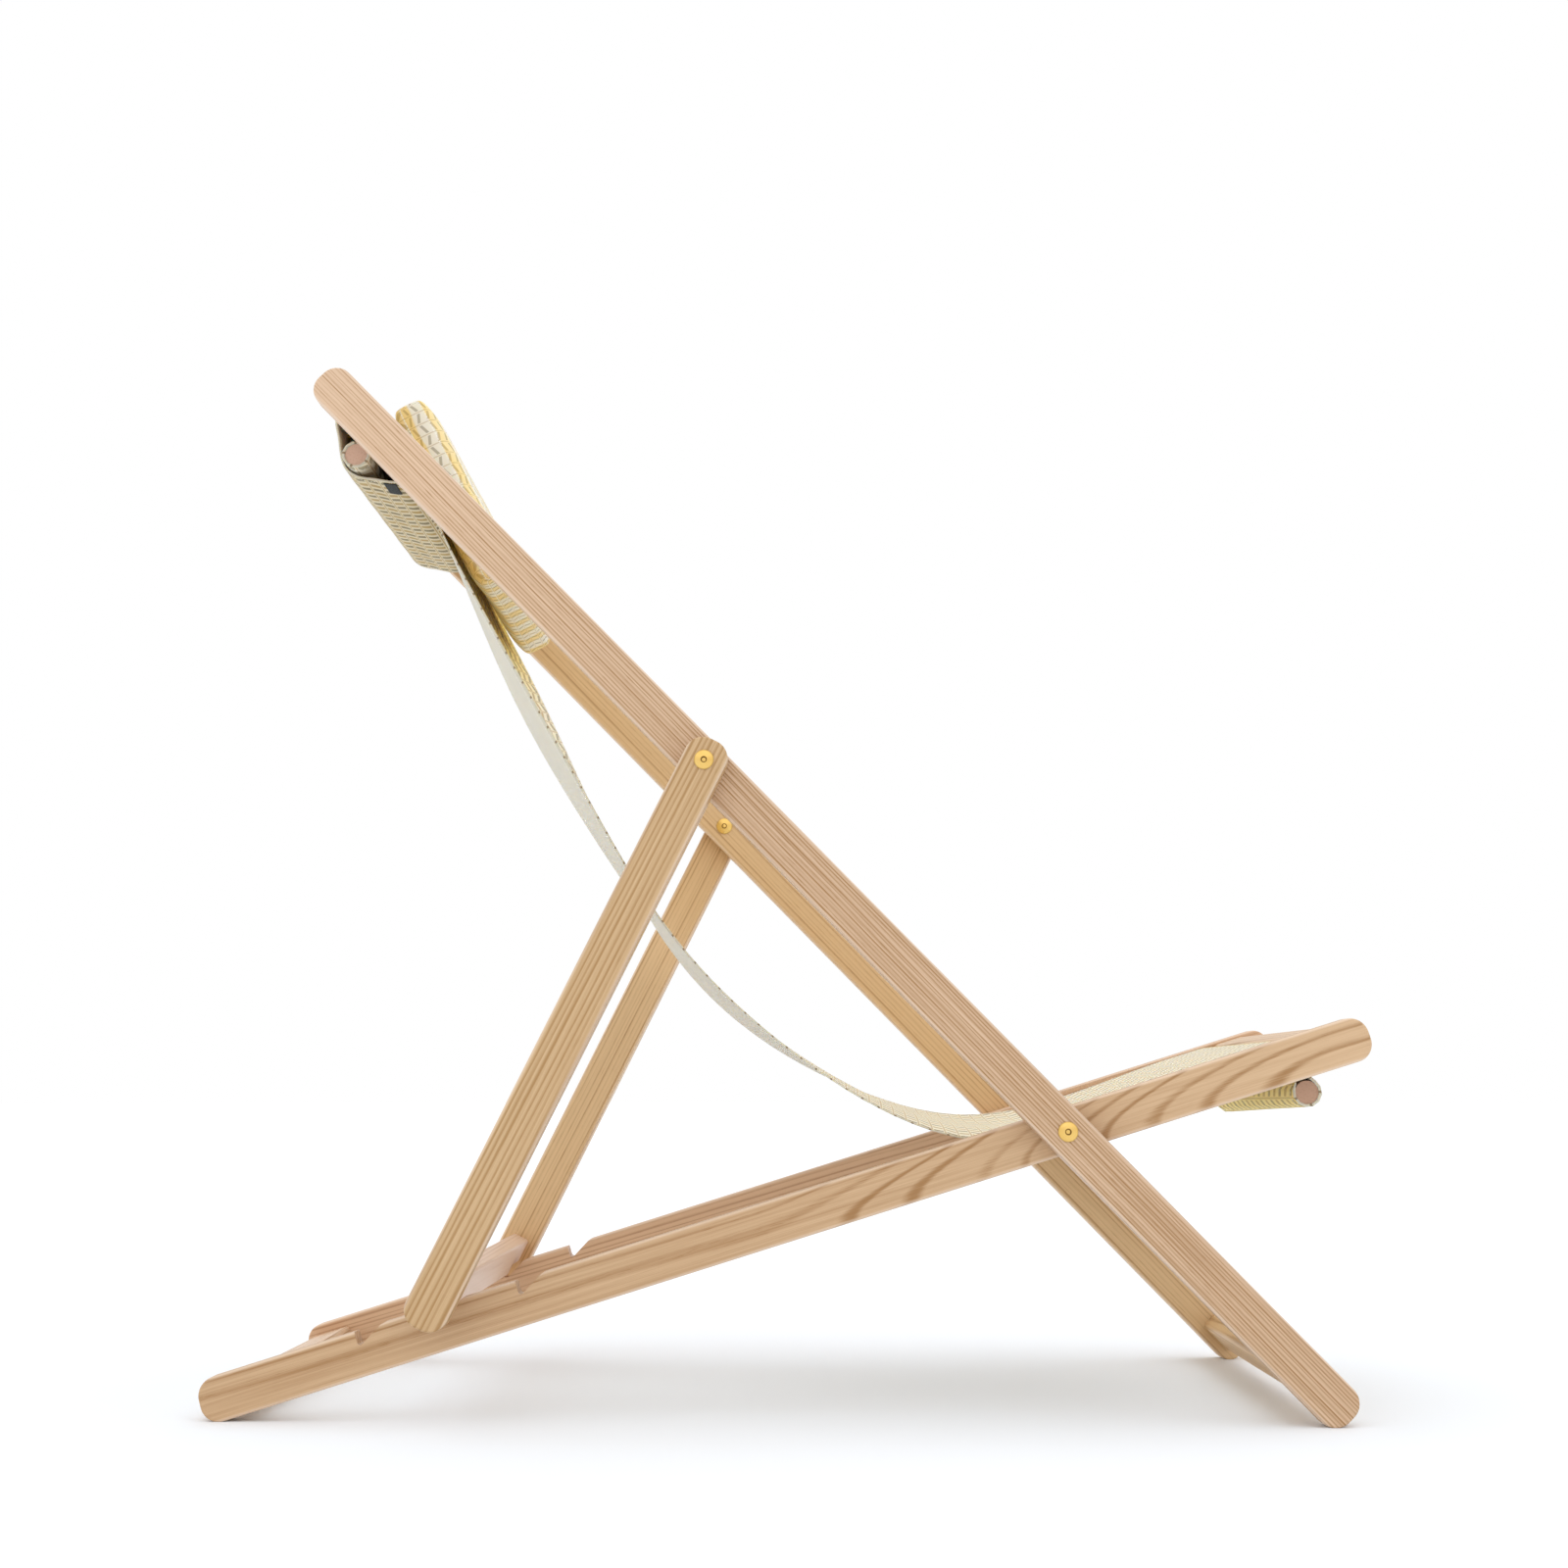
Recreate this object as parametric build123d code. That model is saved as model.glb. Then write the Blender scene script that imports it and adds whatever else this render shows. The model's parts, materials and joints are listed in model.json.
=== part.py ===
from build123d import *
import os
from math import cos, hypot, radians, sin, tan

# Folding deck chair in solid ash with a canvas sling and a hung headrest.
# Millimetres and degrees. +X is the sitter's front, +Y the sitter's left, +Z up.
# The origin is on the floor, under the middle of the overall length and width.

# Rails of all three frames
rail_width = 45.0
rail_thickness = 25.0
rail_end_radius = 19.0
rail_edge_radius = 2.5
frame_gap = 1.0  # between neighbouring frames, filled by the pivot washers
seat_inner_width = 430.0  # between the inner faces of the seat rails
floor_flat_depth = 0.6  # flat planed on the rounded rail ends where they stand

# Seat frame, distances along the rail from the back pivot
seat_angle = 17.25
seat_rear_reach = 909.5
seat_front_reach = 327.5

# Back frame, distances along the rail from the back pivot
back_angle = 45.63
back_top_reach = 1110.0

# Strut frame, whose bar stands in one of the rest notches
strut_pivot_reach = 523.0  # along the back rail, from the back pivot
strut_top_reach = 23.0  # from the strut pivot to the strut's upper end
strut_low_overhang = 11.5  # of the struts, below their bar
strut_rest_notch = 1  # counted from the rear, from 0
strut_foot_back = 4.2  # lower edge of the bar, behind the notch's stop wall
strut_foot_sink = 4.9  # lower edge of the bar, below the seat rail's upper edge

# Rest notches in the seat rails
notch_first_reach = 742.5  # rearmost stop wall, behind the back pivot
notch_pitch = 84.0
notch_count = 3
notch_depth = 14.0
notch_floor = 4.0
notch_ramp_angle = 30.0
notch_corner_radius = 3.0
notch_runout_radius = 12.0

# Crossbars
bar_width = 43.0
bar_thickness = 21.0
bar_edge_radius = 3.0
rear_bar_inset = 9.5  # from the seat rails' rear tips
foot_bar_reach = 333.0  # near edge of the foot bar, from the back pivot
foot_edge_radius = 6.0
strut_bar_relief = 13.5  # cut away over the seat rails so that the bar lifts clear of the notch
strut_bar_side_gap = 0.5
sling_slot = 10.0  # gap between paired bars that the sling passes through
front_slot_inset = 73.5  # middle of the front slot, from the seat rails' front tips
top_slot_inset = 69.0  # middle of the top slot, from the back rails' top tips
front_bar_low = -2.0  # underside of the front pair, from the rail's middle line
front_edge_radius = 8.0
front_bar_step = 1.0  # the bar behind the front slot lies this much lower
top_bar_front = -5.0  # front face of the top pair, from the rail's middle line

# Dowel pins, two in each end of each bar
dowel_radius = 4.0
dowel_depth = 17.0
dowel_spacing = 20.0
dowel_clearance = 0.05
dowel_end_gap = 0.5

# Pivot fastenings: a socket bolt in a sleeve nut
head_radius = 10.0
head_height = 3.0
head_rim = 1.1
head_gap = 0.1
socket_radius = 2.9
socket_depth = 2.0
sleeve_radius = 5.0
sleeve_short = 1.0  # the sleeve stops short of the far face
shank_radius = 3.0
shank_length = 38.0
pivot_clearance = 0.05
washer_radius = 13.0
washer_slack = 0.1

# Sling, its rods and its headrest
cloth = 2.0
cloth_gap = 0.3
cloth_lap = 1.0  # overlap of neighbouring stretches of the sling
cloth_steps = 12  # stations at which the hanging cloth's two faces are set out
sling_side_gap = 5.0  # from the sling's edge to the seat rails
rod_radius = 12.0
rod_inset = 1.0  # of the rods' ends, inside the sling's edges
front_rod_hang = 24.0  # from the front pair's underside to the rod
top_rod_hang = 2.0  # from the top pair's rear face to the rod
sling_hem_drop = 12.0  # stitched hem below the front pair, before the loop opens
sling_top_angle = 66.0  # slope at which the cloth leaves the top bars
# the hanging cloth: place on the straight line from bar to bar and drop below it, as shares of that line
sling_hang = [(0.085, 0.051), (0.344, 0.1775), (0.5065, 0.237), (0.705, 0.2437), (0.849, 0.1954)]
pillow_width = 400.0
pillow_length = 200.0
pillow_crown = 26.0
pillow_seam = 20.0  # half thickness at the pillow's sides
pillow_lip_share = 0.7  # half thickness at the pillow's head and foot, as a share of the middle's
pillow_pull = 5.0  # how far the sides draw in between the corners
pillow_stations = (-1.0, -0.93, -0.8, -0.55, 0.0, 0.55, 0.8, 0.93, 1.0)  # shares of the half width
pillow_tilt = 15.5
pillow_rise = 9.0  # pillow's head above the top slot
pillow_stand = 18.5  # pillow's rear face before the top pair, at its head
sewn_gap = 0.7  # between pieces that are sewn or stuck together
wrap_width = 390.0
wrap_thickness = 3.0
wrap_clear = 4.0
wrap_sewn = 20.0  # where the wrap leaves the pillow's rear, from the pillow's head
wrap_rise = 21.0  # where the wrap meets the top bar, above the top slot
wrap_slack = 1.5  # how far the wrap hangs off the rod's loop below
wrap_hem_thickness = 5.0
wrap_hem_drop = 37.0  # middle of the wrap's hem on the lower top bar's rear face, below the top slot

# Derived planes and pivots
seat_half = seat_inner_width / 2
seat_outer = seat_half + rail_thickness
back_half = seat_outer + frame_gap
back_outer = back_half + rail_thickness
strut_half = back_outer + frame_gap
strut_outer = strut_half + rail_thickness
end_radius = min(rail_end_radius, 0.49 * rail_width)
end_offset = rail_width / 2 - end_radius


def tip_reach(reach, angle):
    """Horizontal reach of a rounded rail end from the pivot."""
    return (reach - end_radius) * cos(radians(angle)) + end_offset * sin(radians(angle)) + end_radius


seat_cos, seat_sin = cos(radians(seat_angle)), sin(radians(seat_angle))
back_cos, back_sin = cos(radians(back_angle)), sin(radians(back_angle))
pivot_x = (tip_reach(seat_rear_reach, seat_angle) - tip_reach(seat_front_reach, seat_angle)) / 2
seat_drop = (seat_rear_reach - end_radius) * seat_sin + end_offset * seat_cos + end_radius
pivot_z = seat_drop - floor_flat_depth
foot_drop = pivot_z + floor_flat_depth - end_radius - end_offset * back_cos
back_foot_reach = foot_drop / back_sin + end_radius
strut_pivot_x = pivot_x - strut_pivot_reach * back_cos
strut_pivot_z = pivot_z + strut_pivot_reach * back_sin

# The strut runs from its pivot to where its bar's lower edge stands in the notch
strut_foot_along = strut_rest_notch * notch_pitch - notch_first_reach - strut_foot_back
strut_foot_across = rail_width / 2 - strut_foot_sink
strut_foot_x = pivot_x + strut_foot_along * seat_cos - strut_foot_across * seat_sin
strut_foot_z = pivot_z + strut_foot_along * seat_sin + strut_foot_across * seat_cos
strut_foot_reach = hypot(strut_pivot_x - strut_foot_x, strut_pivot_z - strut_foot_z)
strut_cos = (strut_pivot_x - strut_foot_x) / strut_foot_reach
strut_sin = (strut_pivot_z - strut_foot_z) / strut_foot_reach
strut_bar_reach = strut_foot_reach - bar_width
strut_low_reach = strut_foot_reach + strut_low_overhang

# What the cloth and the rods take from the bars
front_slot_reach = seat_front_reach - front_slot_inset
top_slot_reach = back_top_reach - top_slot_inset
sling_width = seat_inner_width - 2 * sling_side_gap
rod_length = sling_width - 2 * rod_inset
sling_hem_ply = 2 * cloth
front_rod_drop = rod_radius + front_rod_hang - front_bar_low
top_rod_back = top_bar_front + bar_thickness + top_rod_hang + rod_radius
pillow_along = top_slot_reach + pillow_rise
pillow_front = pillow_crown + pillow_stand - top_bar_front


# Each frame's own plane at a given y: first axis along the rail, second across it, third towards -Y
def seat_plane(y):
    """Along: forwards from the back pivot. Across: upwards."""
    return Plane((pivot_x, y, pivot_z), x_dir=(seat_cos, 0, seat_sin), z_dir=(0, -1, 0))


def back_plane(y):
    """Along: from the back pivot to the top. Across: rearwards."""
    return Plane((pivot_x, y, pivot_z), x_dir=(-back_cos, 0, back_sin), z_dir=(0, -1, 0))


def strut_plane(y):
    """Along: from the strut pivot downwards. Across: forwards."""
    return Plane((strut_pivot_x, y, strut_pivot_z), x_dir=(-strut_cos, 0, -strut_sin), z_dir=(0, -1, 0))


def on_plane(plane, along, across):
    """A point of a frame's own plane in the chair's x and z, as a point of the XZ plane."""
    point = plane(0).from_local_coords((along, across, 0))
    return point.X, point.Z


def middle(span):
    return (span[0] + span[1]) / 2


def length(span):
    return span[1] - span[0]


def rail(plane, along, inner):
    """Right-hand rail with rounded ends and eased edges, its inner face at y = -inner."""
    outline = plane(-inner) * Pos(middle(along), 0) * RectangleRounded(length(along), rail_width, end_radius)
    body = extrude(outline, rail_thickness)
    return fillet(body.faces().filter_by(Axis.Y).edges(), rail_edge_radius)


def bar(plane, along, across, width, radius=bar_edge_radius):
    """Straight bar from side to side, with eased long edges."""
    outline = RectangleRounded(length(along), length(across), radius)
    return extrude(plane(width / 2) * Pos(middle(along), middle(across)) * outline, width)


def bore(plane, along, across, radius, start, depth):
    """Round hole or pin along Y, from y = start towards -Y."""
    pin = Cylinder(radius, depth, align=(Align.CENTER, Align.CENTER, Align.MIN))
    return plane(start) * Pos(along, across) * pin


def both_sides(piece):
    """A right-hand piece with its left-hand twin."""
    return Compound(children=list(piece.solids()) + list(mirror(piece, Plane.XZ).solids()))


def dowel_spots(along, across):
    """The two dowel axes in a bar's end, spread along the bar's wider side."""
    shift = dowel_spacing / 2
    if length(along) >= length(across):
        return [(middle(along) - shift, middle(across)), (middle(along) + shift, middle(across))]
    return [(middle(along), middle(across) - shift), (middle(along), middle(across) + shift)]


def dowel_holes(plane, spots, inner):
    """Blind holes through the joint face at y = -inner, in the bar and in the rail."""
    depth = dowel_depth + dowel_end_gap
    radius = dowel_radius + dowel_clearance
    return [bore(plane, a, c, radius, depth - inner, 2 * depth) for a, c in spots]


def dowels(plane, spots, inner):
    return [bore(plane, a, c, dowel_radius, dowel_depth - inner, 2 * dowel_depth) for a, c in spots]


# Where each bar lies in its frame, along and across
seat_rear_bar_at = ((rear_bar_inset - seat_rear_reach, rear_bar_inset - seat_rear_reach + bar_width),
                    (-bar_thickness / 2, bar_thickness / 2))
front_pair_across = (front_bar_low, front_bar_low + bar_thickness)
seat_front_bar_at = ((front_slot_reach + sling_slot / 2, front_slot_reach + sling_slot / 2 + bar_width),
                     front_pair_across)
seat_sling_bar_at = ((front_slot_reach - sling_slot / 2 - bar_width, front_slot_reach - sling_slot / 2),
                     (front_bar_low, front_bar_low + bar_thickness - front_bar_step))
top_pair_across = (top_bar_front, top_bar_front + bar_thickness)
back_top_bar_at = ((top_slot_reach + sling_slot / 2, top_slot_reach + sling_slot / 2 + bar_width),
                   top_pair_across)
back_sling_bar_at = ((top_slot_reach - sling_slot / 2 - bar_width, top_slot_reach - sling_slot / 2),
                     top_pair_across)
back_foot_bar_at = ((-foot_bar_reach - bar_width, -foot_bar_reach), (-bar_thickness / 2, bar_thickness / 2))
strut_bar_at = ((strut_bar_reach, strut_bar_reach + bar_width), (-bar_thickness / 2, bar_thickness / 2))
strut_bar_land = (strut_bar_reach, strut_bar_reach + bar_width - strut_bar_relief)

seat_bars = [seat_rear_bar_at, seat_sling_bar_at, seat_front_bar_at]
back_bars = [back_foot_bar_at, back_sling_bar_at, back_top_bar_at]
seat_spots = [spot for at in seat_bars for spot in dowel_spots(*at)]
back_spots = [spot for at in back_bars for spot in dowel_spots(*at)]
strut_spots = dowel_spots(strut_bar_land, strut_bar_at[1])

floor_below = Pos(0, 0, -rail_width / 2) * Box(4 * seat_rear_reach, 4 * strut_outer, rail_width)


def notch(wall):
    """Cutter for one rest notch: stop wall, small floor, then a ramp that runs out to the front."""
    top = rail_width / 2
    low = top - notch_depth
    spare = 2 * notch_runout_radius
    ramp_end = wall + notch_floor + notch_depth / tan(radians(notch_ramp_angle))
    outline = Polyline(
        (wall, top + spare), (wall, low), (wall + notch_floor, low), (ramp_end, top),
        (ramp_end + spare, top), (ramp_end + spare, top + spare), close=True)
    face = make_face(outline)
    corners = face.vertices().sort_by(Axis.Y)[:2]
    face = fillet(corners, notch_corner_radius)
    runout = min(face.vertices(), key=lambda v: (v.X - ramp_end) ** 2 + (v.Y - top) ** 2)
    face = fillet(runout, notch_runout_radius)
    return extrude(seat_plane(-seat_half + 1) * face, rail_thickness + 2)


# Seat frame
def seat_rail_right():
    body = rail(seat_plane, (-seat_rear_reach, seat_front_reach), seat_half)
    for number in range(notch_count):
        body -= notch(-notch_first_reach + number * notch_pitch)
    body -= bore(seat_plane, 0, 0, sleeve_radius + pivot_clearance, 1 - seat_half, rail_thickness + 2)
    for hole in dowel_holes(seat_plane, seat_spots, seat_half):
        body -= hole
    return body - floor_below


def crossbar(plane, at, inner, radius=bar_edge_radius, spots=None):
    """Bar between two rails, drilled for its dowels."""
    body = bar(plane, at[0], at[1], 2 * inner, radius)
    for hole in dowel_holes(plane, spots or dowel_spots(*at), inner):
        body -= hole
        body -= mirror(hole, Plane.XZ)
    return body


# Back frame
def back_rail_right():
    body = rail(back_plane, (-back_foot_reach, back_top_reach), back_half)
    for along in (0, strut_pivot_reach):
        body -= bore(back_plane, along, 0, sleeve_radius + pivot_clearance,
                     1 - back_half, rail_thickness + 2)
    for hole in dowel_holes(back_plane, back_spots, back_half):
        body -= hole
    return body - floor_below


# Strut frame
def strut_right():
    body = rail(strut_plane, (-strut_top_reach, strut_low_reach), strut_half)
    body -= bore(strut_plane, 0, 0, sleeve_radius + pivot_clearance, 1 - strut_half, rail_thickness + 2)
    for hole in dowel_holes(strut_plane, strut_spots, strut_half):
        body -= hole
    return body


def strut_crossbar():
    """Bar that rests on the seat rails; between them it hangs to its full depth."""
    body = crossbar(strut_plane, (strut_bar_land, strut_bar_at[1]), strut_half, bar_edge_radius, strut_spots)
    tongue = bar(strut_plane, strut_bar_at[0], strut_bar_at[1], 2 * (seat_half - strut_bar_side_gap))
    for hole in dowel_holes(strut_plane, strut_spots, strut_half):
        tongue -= hole
        tongue -= mirror(hole, Plane.XZ)
    return body + tongue


# Pivot fastenings, right-hand ones; the twins are mirrored
def dome_head():
    """Low domed head on +Z, its underside at z = 0."""
    side = Polyline((0, head_height), (0, 0), (head_radius, 0), (head_radius, head_rim))
    dome = RadiusArc((head_radius, head_rim), (0, head_height), -dome_radius)
    return revolve(Plane.XZ * make_face(side.edges() + [dome.edge()]), Axis.Z)


dome_rise = head_height - head_rim
dome_radius = (head_radius ** 2 + dome_rise ** 2) / (2 * dome_rise)


def pivot_bolt(plane, along, face):
    """Bolt whose head lies outside the rail face at y = -face, its shank running inwards."""
    head = dome_head()
    socket = extrude(Pos(0, 0, head_height) * RegularPolygon(socket_radius, 6), -socket_depth)
    shank = Cylinder(shank_radius, shank_length, align=(Align.CENTER, Align.CENTER, Align.MAX))
    return plane(-face - head_gap) * Pos(along, 0) * (head - socket + shank)


def sleeve_nut(plane, along, inner_face, outer_face):
    """Sleeve with a domed head on the inner rail's inner face."""
    head = Rot(180, 0, 0) * dome_head()
    reach = outer_face - inner_face - sleeve_short
    sleeve = Cylinder(sleeve_radius, reach, align=(Align.CENTER, Align.CENTER, Align.MIN))
    depth = shank_length - head_gap - sleeve_short + dowel_end_gap
    hole = Pos(0, 0, reach - depth) * Cylinder(
        shank_radius + pivot_clearance, depth, align=(Align.CENTER, Align.CENTER, Align.MIN))
    return plane(-inner_face) * Pos(along, 0) * (head + sleeve - hole)


def washer(plane, along, face):
    """Washer in the gap outside the rail face at y = -face."""
    thickness = frame_gap - washer_slack
    disc = bore(plane, along, 0, washer_radius, -face, thickness)
    return disc - bore(plane, along, 0, sleeve_radius + pivot_clearance, 1 - face, frame_gap + 2)


# Sling: one cloth with a sewn loop round a rod at each end
def cloth_strip(plane, along, across):
    """Flat stretch of cloth."""
    outline = Pos(middle(along), middle(across)) * Rectangle(length(along), length(across))
    return extrude(plane(sling_width / 2) * outline, sling_width)


def hem_loop(plane, rod_at, slot_at):
    """Teardrop loop of cloth round a rod, drawn together where it enters the slot."""
    inner = rod_radius + cloth_gap
    outer = inner + cloth
    neck = sling_hem_ply / 2
    skin = make_hull((Pos(*rod_at) * Circle(outer)).edges() + (Pos(*slot_at) * Circle(neck)).edges())
    void = make_hull((Pos(*rod_at) * Circle(inner)).edges() + (Pos(*slot_at) * Circle(neck / 20)).edges())
    pocket = Pos(*rod_at) * Circle(inner) + (void & (Pos(*rod_at) * Rectangle(4 * outer, 4 * outer)))
    return extrude(plane(sling_width / 2) * (skin - pocket), sling_width)


def hanging_cloth(start, end, slopes):
    """Free stretch of the sling between the two bars, as a band of even thickness."""
    run_x, run_z = end[0] - start[0], end[1] - start[1]
    sag = [(start[0] + share * run_x + drop * run_z, start[1] + share * run_z - drop * run_x)
           for share, drop in sling_hang]
    middle_line = Spline(start, *sag, end, tangents=slopes)
    stations = [step / cloth_steps for step in range(cloth_steps + 1)]
    sides = []
    for side in (cloth / 2, -cloth / 2):
        points = []
        for station in stations:
            at = middle_line @ station
            way = middle_line % station
            points.append((at.X - side * way.Y, at.Y + side * way.X))
        sides.append(Spline(*points, tangents=slopes))
    front, rear = sides
    ends = [Line(front @ 0, rear @ 0), Line(front @ 1, rear @ 1)]
    face = make_face([front.edge(), ends[1].edge(), rear.edge(), ends[0].edge()])
    return extrude(Plane.XZ.offset(-sling_width / 2) * face, sling_width)


def sling():
    board_front = top_bar_front - cloth_gap
    top_lead = back_sling_bar_at[0][0]
    top_hem_at = (top_slot_reach - sling_hem_ply / 2, top_slot_reach + sling_hem_ply / 2)
    top_strip = cloth_strip(back_plane, (top_lead, top_hem_at[1]), (board_front - cloth, board_front))
    top_hem_end = top_pair_across[1] - cloth_lap
    top_hem = cloth_strip(back_plane, top_hem_at, (board_front - cloth, top_hem_end))
    top_loop = hem_loop(back_plane, (top_slot_reach, top_rod_back), (top_slot_reach, top_hem_end))
    board_top = seat_sling_bar_at[1][1] + cloth_gap
    front_lead = seat_sling_bar_at[0][0]
    front_hem_at = (front_slot_reach - sling_hem_ply / 2, front_slot_reach + sling_hem_ply / 2)
    front_strip = cloth_strip(seat_plane, (front_lead, front_hem_at[1]), (board_top, board_top + cloth))
    front_hem_end = front_bar_low - sling_hem_drop
    front_hem = cloth_strip(seat_plane, front_hem_at, (front_hem_end, board_top + cloth))
    front_loop = hem_loop(seat_plane, (front_slot_reach, -front_rod_drop), (front_slot_reach, front_hem_end))
    start = on_plane(back_plane, top_lead + cloth_lap, board_front - cloth / 2)
    end = on_plane(seat_plane, front_lead + cloth_lap, board_top + cloth / 2)
    top_slope = (cos(radians(sling_top_angle)), -sin(radians(sling_top_angle)))
    hang = hanging_cloth(start, end, [top_slope, (seat_cos, seat_sin)])
    return hang + top_strip + top_hem + top_loop + front_strip + front_hem + front_loop


def sling_rod(plane, along, across):
    return bore(plane, along, across, rod_radius, rod_length / 2, rod_length)


# Headrest: a boxy pillow, and a wrap that goes over the top bar and round the rod to the lower bar's rear
def pillow_section(y):
    """Closed outline of the pillow across its width: crowned front and back, short rounded ends."""
    share = 1 - (abs(y) / (pillow_width / 2)) ** 4
    crown = pillow_seam + (pillow_crown - pillow_seam) * share
    pull = pillow_pull * share
    lip = pillow_lip_share * crown
    first, last = pull, pillow_length - pull
    half = pillow_length / 2
    front = ThreePointArc((first, lip), (half, crown), (last, lip))
    foot = ThreePointArc((last, lip), (last + lip / 2, 0), (last, -lip))
    rear = ThreePointArc((last, -lip), (half, -crown), (first, -lip))
    head = ThreePointArc((first, -lip), (first - lip / 2, 0), (first, lip))
    face = make_face([front.edge(), foot.edge(), rear.edge(), head.edge()])
    return back_plane(y) * Pos(pillow_along, -pillow_front) * Rot(0, 0, 180 - pillow_tilt) * face


def head_pillow():
    half = pillow_width / 2
    return loft([pillow_section(share * half) for share in pillow_stations], ruled=True)


def head_wrap():
    """Wrap from the pillow's rear over the top bar and round the rod's loop, with a thicker hem."""
    thin = wrap_thickness / 2
    tilt_cos, tilt_sin = cos(radians(pillow_tilt)), sin(radians(pillow_tilt))
    sewn_share = (pillow_length / 2 - wrap_sewn) / (pillow_length / 2 - pillow_pull)
    sewn_half = pillow_crown * (1 - (1 - pillow_lip_share) * sewn_share ** 2)
    sewn_depth = sewn_half + sewn_gap + thin
    over = back_top_bar_at[0][1] + wrap_clear + thin
    half_turn = 22.5
    ring = (rod_radius + cloth + 2 * cloth_gap + thin) / cos(radians(half_turn))
    stops = [
        (pillow_along - wrap_sewn * tilt_cos + sewn_depth * tilt_sin,
         wrap_sewn * tilt_sin + sewn_depth * tilt_cos - pillow_front),
        (top_slot_reach + wrap_rise, top_bar_front - wrap_clear - thin),
        (over, top_bar_front - wrap_clear),
        (over, top_pair_across[1] + cloth),
    ]
    for turn, reach in ((2 * half_turn, ring), (4 * half_turn, ring), (6 * half_turn, ring + wrap_slack)):
        stops.append((top_slot_reach + reach * cos(radians(turn)),
                      top_rod_back + reach * sin(radians(turn))))
    profile = None
    for here, there in zip(stops, stops[1:]):
        run = make_hull((Pos(*here) * Circle(thin)).edges() + (Pos(*there) * Circle(thin)).edges())
        profile = run if profile is None else profile + run
    hem_half = wrap_hem_thickness / 2
    hem_back = top_pair_across[1] + sewn_gap + hem_half
    hem = Pos(top_slot_reach - wrap_hem_drop, hem_back) * Circle(hem_half)
    profile += make_hull((Pos(*stops[-1]) * Circle(thin)).edges() + hem.edges())
    return extrude(back_plane(wrap_width / 2) * profile, wrap_width)


seat_right, back_right, strut_r = seat_rail_right(), back_rail_right(), strut_right()
nodes = {
    "seat_rail_right": seat_right,
    "seat_rail_left": mirror(seat_right, Plane.XZ),
    "seat_rear_crossbar": crossbar(seat_plane, seat_rear_bar_at, seat_half),
    "seat_sling_crossbar": crossbar(seat_plane, seat_sling_bar_at, seat_half),
    "seat_front_crossbar": crossbar(seat_plane, seat_front_bar_at, seat_half, front_edge_radius),
    "seat_dowels": both_sides(Compound(children=dowels(seat_plane, seat_spots, seat_half))),
    "front_sling_rod": sling_rod(seat_plane, front_slot_reach, -front_rod_drop),
    "back_pivot_bolts": both_sides(pivot_bolt(seat_plane, 0, back_outer)),
    "back_pivot_nuts": both_sides(sleeve_nut(seat_plane, 0, seat_half, back_outer)),
    "back_pivot_washers": both_sides(washer(seat_plane, 0, seat_outer)),
    "back_rail_right": back_right,
    "back_rail_left": mirror(back_right, Plane.XZ),
    "back_top_crossbar": crossbar(back_plane, back_top_bar_at, back_half),
    "back_sling_crossbar": crossbar(back_plane, back_sling_bar_at, back_half),
    "back_foot_crossbar": crossbar(back_plane, back_foot_bar_at, back_half, foot_edge_radius),
    "back_dowels": both_sides(Compound(children=dowels(back_plane, back_spots, back_half))),
    "top_sling_rod": sling_rod(back_plane, top_slot_reach, top_rod_back),
    "strut_pivot_bolts": both_sides(pivot_bolt(back_plane, strut_pivot_reach, strut_outer)),
    "strut_pivot_nuts": both_sides(sleeve_nut(back_plane, strut_pivot_reach, back_half, strut_outer)),
    "strut_pivot_washers": both_sides(washer(back_plane, strut_pivot_reach, back_outer)),
    "strut_right": strut_r,
    "strut_left": mirror(strut_r, Plane.XZ),
    "strut_crossbar": strut_crossbar(),
    "strut_dowels": both_sides(Compound(children=dowels(strut_plane, strut_spots, strut_half))),
    "sling": sling(),
    "head_pillow": head_pillow(),
    "head_wrap": head_wrap(),
}

os.makedirs("parts", exist_ok=True)
for name, shape in nodes.items():
    export_step(shape, f"parts/{name}.step")
print("back pivot", round(pivot_x, 2), round(pivot_z, 2))
print("strut pivot", round(strut_pivot_x, 2), round(strut_pivot_z, 2))
print("strut foot reach", round(strut_foot_reach, 2), "strut low reach", round(strut_low_reach, 2))
print("overall width", 2 * (strut_outer + head_gap + head_height))
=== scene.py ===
# %% [markdown]
# # A folding deck chair in ash and canvas
#
# The wooden frames, rods and bolts come ready made at their real size, in metres, with +X towards the
# sitter's feet, +Y to the sitter's left and +Z up. This lesson gives them their finish, and makes the soft
# goods that Blender is better at: the hung sling, the stuffed pillow and the wrap that holds it.

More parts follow.
